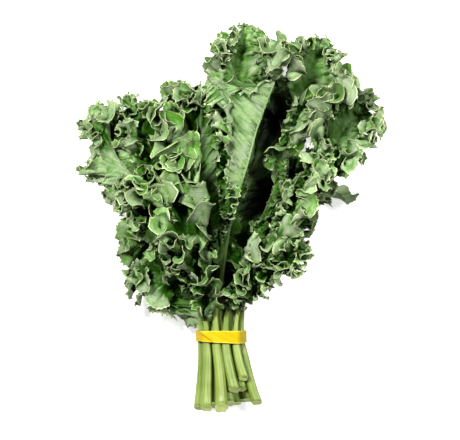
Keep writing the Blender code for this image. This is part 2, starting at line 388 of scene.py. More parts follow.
def rest_lengths(flat, side_rows, grown):
    """The lengths that the sheets' edges and diagonals want at a stage of growing, from 0 to 1."""
    out = np.abs(across_rows(side_rows))[None, :, None]
    power = np.array([leaf.power for leaf in LEAVES])[:, None, None]
    growth = np.array([leaf.growth for leaf in LEAVES])[:, None, None]
    frill = np.array([leaf.frill for leaf in LEAVES])[:, None, None]
    longer = 1.0 + growth * grown * (out**power + frill * grown * out**12)
    longer[INDEX_OVER, len(out[0]) // 2 + 1 :] = 1.0
    wider = 1.0 + WIDEN * grown * out**power
    down = flat[:, :, :, 1:] - flat[:, :, :, :-1]
    over = flat[:, :, 1:] - flat[:, :, :-1]
    down_length = np.hypot(down[0], down[1])
    over_length = np.hypot(over[0], over[1])
    lean = (over[0][:, :, :-1] * down[0][:, :-1] + over[1][:, :, :-1] * down[1][:, :-1])
    lean = lean / (over_length[:, :, :-1] * down_length[:, :-1] + 1e-9)
    lean = np.clip(lean, -0.8, 0.8) / (0.5 * (longer[:, 1:] + longer[:, :-1]))
    down_length = down_length * longer
    over_length = over_length * 0.5 * (wider[:, 1:] + wider[:, :-1])
    a = 0.5 * (over_length[:, :, 1:] + over_length[:, :, :-1])
    b = 0.5 * (down_length[:, 1:] + down_length[:, :-1])
    long_way = np.sqrt(np.maximum(a * a + b * b + 2.0 * a * b * lean, 1e-4))
    short_way = np.sqrt(np.maximum(a * a + b * b - 2.0 * a * b * lean, 1e-4))
    return [lengths.astype(FLOAT) for lengths in (down_length, over_length, long_way, short_way)]


ALL = slice(None)


class Sheets:
    """All the blades at once, as an array of places (3, leaf, row, column). Neighbouring points pull each
    other to the lengths that they want."""

    def __init__(self, places, sides, middles, rooms, side_rows):
        self.places = places
        self.sides, self.middles, self.rooms = sides, middles, rooms
        self.speed = np.zeros_like(places)
        self.free = np.ones(places.shape[1:], FLOAT)
        self.free[:, side_rows] = 0.0
        self.free[:, :, 0] = 0.0
        self.pulls = []

    def add_pull(self, first, second, lengths, strength):
        free_first, free_second = self.free[first], self.free[second]
        both = np.maximum(free_first + free_second, 1.0)
        self.pulls.append(
            (
                (ALL,) + first,
                (ALL,) + second,
                np.ascontiguousarray(lengths),
                np.ascontiguousarray(free_first / both * strength).astype(FLOAT),
                np.ascontiguousarray(free_second / both * strength).astype(FLOAT),
            )
        )

    def set_lengths(self, down, over, long_way, short_way):
        """Edges are pulled in sets: odd and even ones, down the leaf, across it and slanting."""
        rows, columns = self.free.shape[1:]
        self.pulls = []
        for odd in (0, 1):
            end = odd + (columns - odd) // 2 * 2
            first, second = slice(odd, end, 2), slice(odd + 1, end, 2)
            self.add_pull((ALL, ALL, first), (ALL, ALL, second), down[:, :, odd : end - 1 : 2], 1.0)
        for odd in (0, 1):
            end = odd + (rows - odd) // 2 * 2
            first, second = slice(odd, end, 2), slice(odd + 1, end, 2)
            self.add_pull((ALL, first, ALL), (ALL, second, ALL), over[:, odd : end - 1 : 2], 1.0)
            near, far = slice(0, -1), slice(1, None)
            self.add_pull((ALL, first, near), (ALL, second, far), long_way[:, odd : end - 1 : 2], SHEAR)
            self.add_pull((ALL, first, far), (ALL, second, near), short_way[:, odd : end - 1 : 2], SHEAR)

    def step(self, stiffness):
        places = self.places
        before = places.copy()
        places += self.speed * KEEP_SPEED
        for first, second, lengths, move_first, move_second in self.pulls:
            apart = places[second] - places[first]
            distance = np.sqrt(apart[0] ** 2 + apart[1] ** 2 + apart[2] ** 2) + 1e-6
            wrong = (distance - lengths) / distance
            places[first] += apart * (wrong * move_first)
            places[second] -= apart * (wrong * move_second)
        ease = self.free * stiffness
        bend = 0.5 * (places[..., 2:] + places[..., :-2]) - places[..., 1:-1]
        places[..., 1:-1] += bend * ease[:, :, 1:-1]
        bend = 0.5 * (places[:, :, 2:] + places[:, :, :-2]) - places[:, :, 1:-1]
        places[:, :, 1:-1] += bend * ease[:, 1:-1]
        self.hold_to_side()
        self.speed = places - before

    def hold_to_side(self):
        """Points that are too far to the side of their midline are pushed back."""
        offset = self.places[:2] - self.middles
        sideways = offset[0] * self.sides[0] + offset[1] * self.sides[1]
        beyond = sideways - np.clip(sideways, -self.rooms, self.rooms)
        self.places[:2] -= self.sides * (beyond * FLOAT(0.5))

    def keep_in(self, limits, sort):
        """Keeps the points between the limits. sort: and out of the openings and below the covering leaf."""
        if sort:
            self.keep_openings()
            self.keep_order()
        for places, low, high in zip(self.places, *limits):
            np.clip(places, low, high, out=places)

    def keep_openings(self):
        """Pushes what stands in the openings out to their sides."""
        x, y, z = self.places
        for opening in OPENINGS:
            aim = math.radians(opening.aim)
            across = across_opening(opening, x, y)
            inside = depth_in(opening, x, y) + 1e-3
            inside = np.where((z > FLOOR + OPEN_HEIGHT) & (inside < 1.0), inside, 1.0)
            inside[INDEX_OVER] = 1.0
            out = (1.0 - inside) / inside * 0.6 * self.free
            x += out * across * math.cos(aim)
            y -= out * across * math.sin(aim)

    def keep_order(self):
        """Keeps what is below the covering leaf from coming up through it."""
        x, y, z = self.places
        over = LEAVES[INDEX_OVER]
        along = np.linspace(0.0, over.reach, 200)
        middle_x, middle_y, _ = midline(over, along)
        nearest = np.interp(y, middle_y, along)
        sideways = (x - np.interp(y, middle_y, middle_x)) * np.cos(heading(over, nearest))
        covered = (sideways < 3.0) & (sideways > -over.left * width(over, nearest) - 1.0)
        covered &= (nearest > DIP_END + DIP_RUN * 0.6) & (y < middle_y[-1])
        surface = stack_height(over, x, y).astype(FLOAT)
        below = np.minimum(z, surface - 3.5)
        above = np.maximum(z[INDEX_OVER], surface[INDEX_OVER] - 2.0)
        z[...] = np.where(covered & (self.free > 0), below, z)
        z[INDEX_OVER] = above
        x[INDEX_OVER] -= np.maximum(sideways[INDEX_OVER] - 2.0, 0.0) * self.free[INDEX_OVER]

    def push_apart(self, room, stride):
        """Points of different parts that are closer than room move apart. stride skips points."""
        places = self.places[:, :, ::stride, ::stride]
        free = self.free[:, ::stride, ::stride]
        leaves, rows, columns = free.shape
        points = places.reshape(3, -1)
        count = points.shape[1]
        index = np.arange(count)
        leaf, row, column = index // (rows * columns), (index // columns) % rows, index % columns
        moves = np.zeros((3, count))
        touches = np.zeros(count)
        for first, second in neighbours(points, room):
            apart = points[:, second] - points[:, first]
            distance = np.sqrt(apart[0] ** 2 + apart[1] ** 2 + apart[2] ** 2) + 1e-6
            beside = (leaf[first] == leaf[second]) & (np.abs(row[first] - row[second]) <= 2)
            beside &= np.abs(column[first] - column[second]) <= 2
            close = (distance < room) & ~beside
            first, second, apart, distance = first[close], second[close], apart[:, close], distance[close]
            push = (room - distance) / distance * 0.25
            for axis in range(3):
                moves[axis] += np.bincount(second, weights=apart[axis] * push, minlength=count)
                moves[axis] -= np.bincount(first, weights=apart[axis] * push, minlength=count)
            touches += np.bincount(first, minlength=count) + np.bincount(second, minlength=count)
        moves /= np.sqrt(np.maximum(touches, 1.0))
        places += (moves.reshape(places.shape) * free).astype(FLOAT)


def neighbours(points, room):
    """Pairs of points in the same cell of a grid, or in cells that touch. room: the size of a cell."""
    cell = np.floor((points - points.min(1, keepdims=True)) / room).astype(np.int64) + 1
    size = cell.max(1) + 2
    key = (cell[2] * size[1] + cell[1]) * size[0] + cell[0]
    order = np.argsort(key, kind="stable")
    cells, starts, counts = np.unique(key[order], return_index=True, return_counts=True)
    steps = [(x, y, z) for z in (-1, 0, 1) for y in (-1, 0, 1) for x in (-1, 0, 1)]
    for x, y, z in steps:
        if (z, y, x) < (0, 0, 0):
            continue
        shift = (z * size[1] + y) * size[0] + x
        found = np.minimum(np.searchsorted(cells, cells + shift), len(cells) - 1)
        near = np.nonzero(cells[found] == cells + shift)[0]
        far = found[near]
        pairs = counts[near] * counts[far]
        total = int(pairs.sum())
        which = np.repeat(np.arange(len(near)), pairs)
        place = np.arange(total) - np.repeat(np.cumsum(pairs) - pairs, pairs)
        first = starts[near][which] + place // counts[far][which]
        second = starts[far][which] + place % counts[far][which]
        if shift == 0:
            once = first < second
            first, second = first[once], second[once]
        yield order[first], order[second]


def refined(places, axis):
    """Twice as many points along one axis, with the new ones on a smooth curve through the old."""
    places = np.moveaxis(places, axis, 0)
    fine = np.empty((places.shape[0] * 2 - 1,) + places.shape[1:], places.dtype)
    fine[::2] = places
    inner = (9.0 * (places[1:-2] + places[2:-1]) - places[:-3] - places[3:]) / 16.0
    fine[3:-3:2] = inner
    fine[1] = (places[0] + places[1]) / 2
    fine[-2] = (places[-1] + places[-2]) / 2
    return np.moveaxis(fine, 0, axis)


def smoothed(places, free, share):
    """The places drawn towards the middles of their neighbours down the leaf, and then across it."""
    for near, far, inner in (
        ((..., slice(None, -2)), (..., slice(2, None)), (..., slice(1, -1))),
        ((..., slice(None, -2), ALL), (..., slice(2, None), ALL), (..., slice(1, -1), ALL)),
    ):
        middle = 0.5 * (places[near] + places[far])
        places[inner] += (middle - places[inner]) * (free[inner] * FLOAT(share))


def room_for_curls():
    """The lowest and the highest places that the growing blades may reach."""
    low = [edge / MM - middle - room for edge, middle, room in zip(cad_bounds[0], TIE, LOW_ROOM)]
    high = [edge / MM - middle + room for edge, middle, room in zip(cad_bounds[1], TIE, HIGH_ROOM)]
    low[2] = FLOOR + 0.6
    return low, high


def grow_blades():
    """The blades' points (3, leaf, row, column), grown from flat sheets, with their flat pattern."""
    rng = np.random.default_rng(SEED)
    habits = [draw_habit(leaf, rng) for leaf in LEAVES]
    limits = room_for_curls()
    side_rows = SIDE_ROWS
    flat, places, *held = lay_out_all(habits, COLUMNS, side_rows)
    out = np.abs(across_rows(side_rows))[:, None]
    places += (rng.standard_normal(places.shape) * 0.3 * out).astype(FLOAT)
    sheets = Sheets(places, *held, side_rows)
    for step in range(COARSE_STEPS):
        grown = min(1.0, (step + 1) / (0.7 * COARSE_STEPS))
        if step % 8 == 0:
            sheets.set_lengths(*rest_lengths(flat, side_rows, grown))
        sheets.step(COARSE_STIFFNESS * (1.0 - SOFTENING * grown))
        if step % 12 == 11:
            sheets.push_apart(COARSE_ROOM, 1)
        sheets.keep_in(limits, step % 4 == 0)

    side_rows *= 2
    places = refined(refined(sheets.places, 3), 2)
    flat, _, *held = lay_out_all(habits, places.shape[3], side_rows)
    sheets = Sheets(np.ascontiguousarray(places), *held, side_rows)
    sheets.set_lengths(*rest_lengths(flat, side_rows, 1.0))
    for _ in range(2):
        smoothed(sheets.places, sheets.free, 0.5)
    for step in range(FINE_STEPS):
        sheets.step(FINE_STIFFNESS)
        if step % 18 == 17:
            sheets.push_apart(FINE_ROOM, 2)
        sheets.keep_in(limits, step % 6 == 0)
    smoothed(sheets.places, sheets.free, 0.5)
    return sheets.places, flat


# ---------------------------------------------------------------- meshes


def added(name, data):
    """A new object in the scene."""
    made = bpy.data.objects.new(name, data)
    bpy.context.scene.collection.objects.link(made)
    return made


def make_mesh(name, points, faces, slots, numbers=None, flat=None):
    """A mesh piece. A face whose last two corners are the same is a triangle. numbers: values of each point,
    by name. flat: each point's place on the flat pattern."""
    used, faces = np.unique(faces, return_inverse=True)
    faces = faces.reshape(-1, 4)
    corner = faces != np.roll(faces, -1, axis=1)
    sizes = corner.sum(axis=1)
    loops = faces[corner]
    mesh = bpy.data.meshes.new(name)
    mesh.vertices.add(len(used))
    placed = (np.asarray(points, float)[used] + np.array(TIE)) * MM
    mesh.vertices.foreach_set("co", placed.astype(np.float32).ravel())
    mesh.loops.add(len(loops))
    mesh.loops.foreach_set("vertex_index", loops.astype(np.int32))
    mesh.polygons.add(len(faces))
    mesh.polygons.foreach_set("loop_start", (np.cumsum(sizes) - sizes).astype(np.int32))
    mesh.polygons.foreach_set("material_index", np.asarray(slots, np.int32))
    for label, values in (numbers or {}).items():
        attribute = mesh.attributes.new(label, "FLOAT", "POINT")
        attribute.data.foreach_set("value", np.asarray(values, np.float32)[used])
    if flat is not None:
        layer = mesh.uv_layers.new(name="pattern")
        layer.data.foreach_set("uv", np.asarray(flat, np.float32)[used][loops].ravel())
    mesh.update(calc_edges=True)
    mesh.shade_smooth()
    return added(name, mesh)


def grid_quads(rows, columns, closed=False):
    """Quads of a grid of points, closed round its columns or not."""
    r, c = np.meshgrid(np.arange(rows - 1), np.arange(columns if closed else columns - 1), indexing="ij")
    following = (c + 1) % columns
    near, far = r * columns, (r + 1) * columns
    corners = [near + c, near + following, far + following, far + c]
    return np.stack([corner.ravel() for corner in corners], axis=1)


SHEET_THICKNESS = 0.55
RIM = 1.2  # the width of the pale rim
TOOTH, TOOTH_PITCH = 3.6, 5.0  # how far the margin's longest teeth stand out, and how far apart they are
FRILL_DEPTH = 1.8  # how far the teeth bend up and down
RELIEF = 1.2  # the height of a ridge that counts as one
PUCKER, PUCKER_LENGTH, PUCKER_WIDTH = 1.3, 8.5, 7.0  # the quilted bumps between the veins
OVER_PUCKER = 0.35  # their share on the leaf that lies over the others
SHORT_LEAF = 200  # leaves with a shorter reach have fewer points


def sheet_normals(places):
    over = np.gradient(places, axis=1)
    down = np.gradient(places, axis=2)
    return unit(np.cross(over, down, axis=0))


def relief(places):
    """How far each point stands out of its surroundings, from 0 in a hollow of the upper side to 1."""
    around = places.copy()
    free = np.ones(places.shape[1:], FLOAT)
    for _ in range(6):
        smoothed(around, free, 0.8)
    stands_out = ((places - around) * sheet_normals(places)).sum(0)
    return 0.5 + 0.5 * np.tanh(stands_out / RELIEF)


def puckered(leaf, places, flat, rng):
    """The blade pushed in and out between its veins, in uneven quilted bumps."""
    u, v = flat
    walk = v + 0.45 * np.abs(u)
    warp = np.zeros_like(u)
    for length in (31.0, 19.0, 12.0):
        aim = rng.uniform(0.0, math.tau)
        turns = (u * math.cos(aim) + v * math.sin(aim)) / length
        warp += 0.22 * np.sin(math.tau * turns + rng.uniform(0.0, math.tau))
    bumps = np.sin(math.tau * (walk / PUCKER_LENGTH + warp)) * np.cos(math.tau * (u / PUCKER_WIDTH + warp))
    bumps += 0.8 * np.sin(math.tau * (walk / (1.9 * PUCKER_LENGTH) - warp))
    out = np.abs(across_rows((places.shape[1] - 1) // 2))[:, None]
    size = PUCKER * smooth(out / 0.25) * (1.0 - 0.5 * smooth((out - 0.5) / 0.5))
    if leaf.name == OVER:
        size = size * OVER_PUCKER
    return places + (sheet_normals(places) * bumps * size).astype(FLOAT)


def kept_rows(side_rows):
    """The rows on one side that the piece keeps, from the midrib out: fewer near the midrib."""
    return [k for k in range(side_rows + 1) if k >= side_rows - 4 or (side_rows - k) % 2 == 0]


def quads_between(first, second):
    return np.stack([first[:-1], second[:-1], second[1:], first[1:]], axis=1)


def stepping_faces(fine, coarse):
    """Between a row and one with half as many points: a quad and a triangle for each step. The triangle's
    last corner is repeated."""
    a, b, c = fine[:-2:2], fine[1::2], fine[2::2]
    d, e = coarse[:-1], coarse[1:]
    return np.concatenate([np.stack([a, d, e, b], axis=1), np.stack([b, e, c, c], axis=1)])


def zone_faces(numbers, fine_rows):
    """Faces of a grid of point numbers. Its first and last fine_rows rows keep all columns, and the others
    every other one."""
    rows = len(numbers)
    faces = []
    for r in range(rows - 1):
        if r < fine_rows or r >= rows - 1 - fine_rows:
            faces.append(quads_between(numbers[r], numbers[r + 1]))
        elif r == fine_rows:
            faces.append(stepping_faces(numbers[r], numbers[r + 1, ::2]))
        elif r == rows - 2 - fine_rows:
            faces.append(stepping_faces(numbers[r + 1], numbers[r, ::2])[:, ::-1])
        else:
            faces.append(quads_between(numbers[r, ::2], numbers[r + 1, ::2]))
    return np.concatenate(faces)


def teeth(edge, rng):
    """Pointed teeth along a margin: how far each point is pushed out, and up or down."""
    walk = running(np.linalg.norm(np.diff(edge, axis=1), axis=0))
    knots = np.arange(0.0, walk[-1] + TOOTH_PITCH, TOOTH_PITCH)
    knots[1:-1] += rng.uniform(-0.35, 0.35, len(knots) - 2) * TOOTH_PITCH
    place = np.interp(walk, knots, np.arange(len(knots)))
    size = rng.uniform(0.35, 1.0, len(knots))[place.astype(int)]
    side = rng.uniform(-1.0, 1.0, len(knots))
    fade = smooth((len(walk) - 1 - np.arange(len(walk))) / 16.0)
    outwards = TOOTH * (size * (1.0 - np.abs(np.sin(math.pi * place))) - 0.3)
    sideways = FRILL_DEPTH * np.interp(place, np.arange(len(knots)), side)
    return outwards * fade, sideways * fade


def margin_rows(layer, edge, inside, rng, toothed=1.0):
    """A margin with twice as many points: its toothed edge and a row just inside it, for the pale rim. layer
    is as in blade_sheet."""
    outer, inner = layer[:, edge], layer[:, inside]
    distance = np.linalg.norm(inner[:3] - outer[:3], axis=0)
    share = np.clip(RIM / (distance + 1e-6), 0.0, 0.6)
    rows = [refined(row, 1) for row in (outer, outer + (inner - outer) * share)]
    outwards = unit(rows[0][:3] - rows[1][:3])
    normal = unit(rows[0][3:6])
    tooth, wave = (offset * toothed for offset in teeth(rows[0][:3], rng))
    rows[0][:3] += outwards * tooth + normal * wave
    rows[1][:3] += outwards * tooth * 0.6 + normal * wave * 0.6
    layer[:3, inside] += normal[:, ::2] * wave[::2] * 0.3
    return rows


def blade_sheet(leaf, places, flat, painted_lightness, rng):
    """The blade as one sheet: its values, its faces, the points round its border, and those on its margins.
    The values are a column for each point: place, normal, flat place, the light painted on it, how far out,
    and relief."""
    side_rows = (places.shape[1] - 1) // 2
    keep = kept_rows(side_rows)
    keep = [side_rows - k for k in keep[::-1]] + [side_rows + k for k in keep[1:]]
    step = 2 if leaf.reach < SHORT_LEAF else 1
    out = np.repeat(np.abs(across_rows(side_rows))[:, None], places.shape[2], axis=1)
    values = [places, sheet_normals(places), flat, painted_lightness[None], out[None], relief(places)[None]]
    layer = np.concatenate(values)[:, keep, ::step].astype(float)
    columns = layer.shape[2]
    left_edge, left_rim = margin_rows(layer, 0, 1, rng)
    right_edge, right_rim = margin_rows(layer, -1, -2, rng, 0.0 if leaf.name == OVER else 1.0)
    grid = layer[:, 1:-1]
    rows = grid.shape[1]
    margins = [left_edge, left_rim, right_edge, right_rim]
    values = np.concatenate([grid.reshape(len(layer), -1), *margins], axis=1)
    numbers = np.arange(rows * columns).reshape(rows, columns)
    longer = columns * 2 - 1
    left_edge, left_rim, right_edge, right_rim = rows * columns + np.arange(4 * longer).reshape(4, longer)
    faces = np.concatenate(
        [
            quads_between(left_edge, left_rim),
            stepping_faces(left_rim, numbers[0]),
            zone_faces(numbers, rows // 4),
            stepping_faces(right_rim, numbers[-1])[:, ::-1],
            quads_between(right_rim, right_edge),
        ]
    )
    far = [left_rim[-1], *numbers[:, -1], right_rim[-1]]
    near = [right_rim[0], *numbers[::-1, 0], left_rim[0]]
    ring = np.concatenate([left_edge, far, right_edge[::-1], near])
    return values, faces, ring, np.concatenate([left_edge, right_edge])


def blade(leaf, places, flat, painted_lightness, rng):
    """The blade as a thin closed shell: points, faces, slots, numbers and flat pattern."""
    values, faces, ring, margins = blade_sheet(leaf, places, flat, painted_lightness, rng)
    count = values.shape[1]
    following = np.roll(ring, -1)
    border = np.stack([following, ring, ring + count, following + count], axis=1)
    at_edge = np.zeros(count)
    at_edge[ring] = 1.0
    offset = unit(values[3:6]) * SHEET_THICKNESS / 2 * (1.0 - 0.5 * at_edge)
    points = np.concatenate([(values[:3] + offset).T, (values[:3] - offset).T])
    upper, under = (0, 1) if leaf.face > 0 else (1, 0)
    slots = [np.full(len(faces), upper), np.full(len(faces), under), np.full(len(border), upper)]
    rim = np.zeros(count)
    rim[margins] = 1.0
    share = values[7] / leaf.reach
    rib = np.exp(-((values[6] / (3.0 - 2.0 * share)) ** 2)) * (1.0 - smooth((share - 0.2) / 0.5))
    labels = {"rim": rim, "rib": rib, "open": values[8], "out": values[9], "tone": np.full(count, leaf.tone)}
    labels = {label: np.tile(numbers, 2) for label, numbers in labels.items()}
    # Relief, for the material: shade is painted in the hollows and light on the ridges.
    labels["relief"] = np.concatenate([values[10], 1.0 - values[10]])
    pattern = np.tile(values[6:8].T * 0.01, (2, 1))
    all_faces = np.concatenate([faces, faces[:, ::-1] + count, border])
    return points, all_faces, np.concatenate(slots), labels, pattern


STALK_SIDES, FOOT_RINGS, MIDRIB_RINGS = 26, 30, 43
CUT_RINGS = ((0.86, 0.1), (0.5, 0.7), (0.12, 1.1))  # how wide each ring of a cut face is, and how deep


def stalk_profile(rng):
    """A stalk's section: ribs of uneven size, and a channel along its upper side."""
    angles = np.linspace(0.0, math.tau, STALK_SIDES, endpoint=False)
    ribs = 1.0
    for count, size in ((2, 0.06), (3, 0.05), (5, 0.035), (8, 0.03)):
        ribs = ribs + size * rng.uniform(0.5, 1.0) * np.cos(count * angles + rng.uniform(0.0, math.tau))
    from_top = (angles - math.pi / 2 + math.pi) % math.tau - math.pi
    profile = 0.97 * ribs - rng.uniform(0.10, 0.22) * np.exp(-((from_top / 0.45) ** 2))
    profile = np.minimum(profile, 1.08)
    return np.cos(angles) * profile, np.sin(angles) * profile


def stalk_axes(leaf, along):
    """The stalk's middle at distances along it, and its directions to the right and up."""
    path = np.stack(midline(leaf, along), axis=1)
    forwards = np.gradient(path, axis=0)
    forwards /= np.linalg.norm(forwards, axis=1, keepdims=True)
    turned = np.where(along > 0, heading(leaf, along), 0.0)
    sideways = np.stack([np.cos(turned), -np.sin(turned), np.zeros_like(turned)], axis=1)
    upwards = np.cross(sideways, forwards)
    upwards /= np.linalg.norm(upwards, axis=1, keepdims=True)
    return path, sideways, upwards


def stalk(leaf, rng):
    """The stalk and midrib: a ribbed tube from the cut end to the tip, and how far along the leaf its rings
    are. The midrib lies below the blade, but for the leaf that shows its under side."""
    foot = np.linspace(-leaf.foot, 0.0, FOOT_RINGS)
    rest = np.linspace(0.0, 1.0, MIDRIB_RINGS + 1)[1:] ** 1.1 * leaf.reach * 0.985
    along = np.concatenate([foot, rest])
    path, sideways, upwards = stalk_axes(leaf, along)
    near_cut = smooth((spreading(along) - 0.7) / 0.3)
    radius = stalk_radius(leaf, along) * (1.0 + 0.06 * near_cut) * rng.uniform(0.84, 1.0)
    across, up = stalk_profile(rng)
    phase = rng.uniform(0.0, math.tau)
    bow = 0.9 * np.sin(along / 17.0 + phase) * smooth(np.abs(along) / 20.0)
    lateral = radius[:, None] * across + bow[:, None]
    height = radius[:, None] * up * leaf.face
    if leaf.name != OVER:
        height -= (radius * smooth((along - 20.0) / 60.0))[:, None]
    points = path[:, None] + sideways[:, None] * lateral[..., None] + upwards[:, None] * height[..., None]
    cut = rng.uniform(0.35, 0.85) * smooth((-along - leaf.foot + 14.0) / 14.0)
    ragged = np.convolve(rng.uniform(-0.7, 0.7, STALK_SIDES), (0.3, 0.4, 0.3), "same")
    points[..., 1] += cut[:, None] * height
    points[:3, :, 1] += ragged * np.array([1.0, 0.6, 0.2])[:, None]
    quads = grid_quads(len(along), STALK_SIDES, closed=True)
    if leaf.face > 0:
        quads = quads[:, ::-1]
    return points.reshape(-1, 3), quads, along


def cut_face(rim):
    """Rings that close the cut end, a little hollow."""
    middle = rim.mean(0)
    inwards = np.array([0.0, 1.0, 0.0])
    return np.concatenate([middle + (rim - middle) * share + inwards * depth for share, depth in CUT_RINGS])


def cut_quads(first, later):
    """The quads of a cut face between its rings, and across the smallest one. first: the number of the rim's
    first point. later: that of the first ring's."""
    ring = np.arange(STALK_SIDES)
    rings = [first + ring] + [later + k * STALK_SIDES + ring for k in range(len(CUT_RINGS))]
    closed = [np.append(ring, ring[0]) for ring in rings]
    quads = [quads_between(near, far)[:, [0, 3, 2, 1]] for near, far in zip(closed, closed[1:])]
    last = rings[-1]
    opposite = last[::-1]
    half = STALK_SIDES // 2
    quads.append(np.stack([last[: half - 1], last[1:half], opposite[1:half], opposite[: half - 1]], axis=1))
    return np.concatenate(quads)


def shade_in_openings(leaf, places):
    """How dark it is on the leaves below the openings, from 0 in their middles to 1 outside them."""
    shade = np.ones(places.shape[1:], FLOAT)
    if leaf.name == OVER:
        return shade
    x, y, z = places
    for opening in OPENINGS:
        beside = smooth((depth_in(opening, x, y) - 0.7) / 0.5)
        above = smooth((z - FLOOR - OPEN_HEIGHT - 10.0) / 20.0)
        shade *= np.maximum(beside, above)
    return shade


def keep_off_band(points):
    """Pushes the points of a blade that lie over the band towards the leaf tips."""
    beside = np.maximum(np.abs(points[:, 0]) - BAND_REACH, 0.0)
    points[:, 1] = np.maximum(points[:, 1], BAND_WIDTH / 2 + 1.4 - beside)


def kale_leaf(leaf, places, flat, light, rng):
    """The piece. One of its numbers says how much light is painted on it, down to -1 in the openings, which
    are painted darkest.
    """
    places = puckered(leaf, places, flat, rng)
    painted_lightness = light.at(places.reshape(3, -1)).reshape(places.shape[1:])
    shade = shade_in_openings(leaf, places)
    # Painted shade in the openings takes the light down to -1.
    painted_lightness = painted_lightness * shade - (1.0 - shade)
    points, quads, slots, numbers, pattern = blade(leaf, places, flat, painted_lightness, rng)
    keep_off_band(points)
    grid, tube, along = stalk(leaf, rng)
    ends = cut_face(grid[:STALK_SIDES])
    base = len(points)
    cap = cut_quads(base, base + len(grid))
    if leaf.face < 0:
        cap = cap[:, ::-1]
    all_points = np.concatenate([points, grid, ends])
    all_points[:, 2] = np.maximum(all_points[:, 2], FLOOR + 0.1)
    all_quads = np.concatenate([quads, tube + base, cap])
    all_slots = np.concatenate([slots, np.full(len(tube), 2), np.full(len(cap), 3)])
    extra = len(grid) + len(ends)
    stalk_along = np.concatenate([np.repeat(along, STALK_SIDES), np.full(len(ends), -leaf.foot)])
    numbers = {label: np.concatenate([values, np.zeros(extra)]) for label, values in numbers.items()}
    numbers["open"][base:] = light.at(all_points[base:].T)
    numbers["tone"][base:] = rng.uniform(-1.0, 1.0)
    numbers["along"] = np.concatenate([np.full(base, 1.0), stalk_along / leaf.reach])
    turns = np.tile(np.arange(STALK_SIDES) / STALK_SIDES, extra // STALK_SIDES)
    tube_pattern = np.stack([turns, stalk_along * 0.01], axis=1)
    pattern = np.concatenate([pattern, tube_pattern])
    piece = make_mesh(leaf.name + "_foliage", all_points, all_quads, all_slots, numbers, pattern)
    for look in ("leaf_upper", "leaf_under", "stalk", "cut_end"):
        piece.data.materials.append(LOOKS[look])
    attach(piece, "root")
    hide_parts(leaf.name)
    return piece


class Air:
    """How open to the air each place is: the mean over many directions of how little stands in the way.
    size: of a cell. reach: how many cells far it looks. full: how many points of a blade fill a cell."""

    def __init__(self, points, size, reach, full):
        self.size = size
        self.low = points.min(1, keepdims=True) - 20 * size
        cell = self.cells(points)
        filled = np.zeros(tuple(cell.max(1) + 3), FLOAT)
        np.add.at(filled, tuple(cell), 1.0)
        filled = np.minimum(filled / full, 1.0)
        span = range(-1, 2)
        steps = [(x, y, z) for z in span for y in span for x in span if (x, y, z) != (0, 0, 0)]
        self.air = np.zeros_like(filled)
        for step in steps:
            length = math.sqrt(sum(value * value for value in step))
            stood = np.zeros_like(filled)
            for count in range(1, int(reach / length) + 1):
                stood += shifted(filled, [value * count for value in step]) * FLOAT(length)
            self.air += np.exp(-0.9 * stood) / len(steps)

    def cells(self, points):
        return ((points - self.low) / self.size).astype(int)

    def at(self, points):
        cell = self.cells(points)
        inside = [np.clip(axis, 0, size - 1) for axis, size in zip(cell, self.air.shape)]
        return self.air[tuple(inside)]


class Light:
    """How light it is at a place, from 0 in a fold or far inside the bunch to 1 outside it, for the light
    and shade painted into the colours.
    """

    # For folds and for the bunch: the Air's size, reach and full, where dark ends and the span to light.
    SCALES = ((3.0, 9, 4.0, 0.12, 0.42), (7.0, 14, 24.0, 0.08, 0.26))

    def __init__(self, blades):
        self.airs = [Air(blades.reshape(3, -1), *scale[:3]) for scale in self.SCALES]

    def at(self, points):
        folds, depths = (
            np.clip((air.at(points) - dark) / span, 0.0, 1.0)
            for air, (*_, dark, span) in zip(self.airs, self.SCALES)
        )
        return folds * depths


def shifted(values, offset):
    """The values of the cells at an offset, and 0 for those outside the grid."""
    out = np.zeros_like(values)
    here, there = [], []
    for size, move in zip(values.shape, offset):
        here.append(slice(max(0, -move), min(size, size - move)))
        there.append(slice(max(0, move), min(size, size + move)))
    if all(part.stop > part.start for part in here):
        out[tuple(here)] = values[tuple(there)]
    return out


# ---------------------------------------------------------------- the rubber band

BAND_THICKNESS, BAND_EDGE, BAND_ROUNDING = 1.05, 0.22, 0.18
BAND_GAP = 0.35  # between it and the stalks


def band_outline():
    """The line round the stalks that the band's inner side follows, with its outward directions."""
    slots = sorted({slot(leaf) for leaf in LEAVES})
    angles = np.linspace(0.0, math.tau, 720, endpoint=False)
    outwards = np.stack([np.cos(angles), np.sin(angles)], axis=1)
    reach = outwards @ np.array(slots).T
    corner = np.array(slots)[reach.argmax(1)]
    ring = corner + outwards * (STALK_RADIUS + BAND_GAP)
    length = running(np.linalg.norm(np.diff(ring, axis=0, append=ring[:1]), axis=1))
    wanted = np.linspace(0.0, length[-1], 261)[:-1]
    closed = np.concatenate([ring, ring[:1]])
    directions = np.concatenate([outwards, outwards[:1]])
    place = np.stack([np.interp(wanted, length, closed[:, axis]) for axis in range(2)], axis=1)
    outward = np.stack([np.interp(wanted, length, directions[:, axis]) for axis in range(2)], axis=1)
    outward /= np.linalg.norm(outward, axis=1, keepdims=True)
    return place, outward


